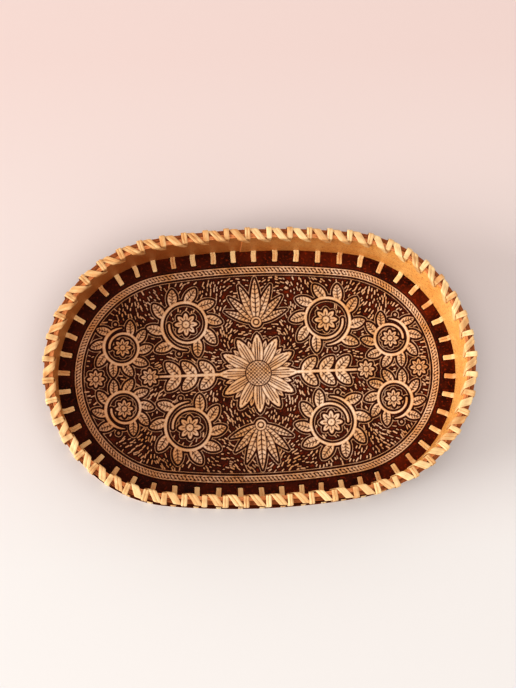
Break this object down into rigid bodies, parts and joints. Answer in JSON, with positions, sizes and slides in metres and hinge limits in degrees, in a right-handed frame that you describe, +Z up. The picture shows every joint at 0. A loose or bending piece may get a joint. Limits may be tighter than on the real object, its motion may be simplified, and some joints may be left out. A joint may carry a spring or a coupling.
{
  "type": "birch bark bread box",
  "caption": "Open shallow oval bread box of birch bark: embossed floor, two-layer upright wall, rim bound and floor tied on with split-root lacing.",
  "frame": {"origin": "middle of the underside of the floor, on the surface that the box stands on", "axes": "+X along the long axis, +Y across it to the far side of the picture, +Z up"},
  "size_m": [0.2734, 0.177, 0.0435],
  "materials": {
    "embossed_bark": "pressed relief, dark ground and tan high places, waxed",
    "plain_bark": "matt, fine layers",
    "lining_bark": "smooth satin, orange-tan with reddish flecks",
    "tanned_bark": "dark-tanned satin",
    "split_root": "pale fibrous, dry"
  },
  "bodies": {
    "root": {"floor_face_sheet": "embossed_bark", "floor_under_sheet": "plain_bark", "wall_inner_strip": "lining_bark", "wall_outer_strip": "tanned_bark", "rim_lace_1": "split_root", "rim_lace_2": "split_root", "rim_lace_3": "split_root", "rim_lace_4": "split_root", "base_lace_1": "split_root", "base_lace_2": "split_root", "base_lace_3": "split_root"}
  },
  "joints": []
}
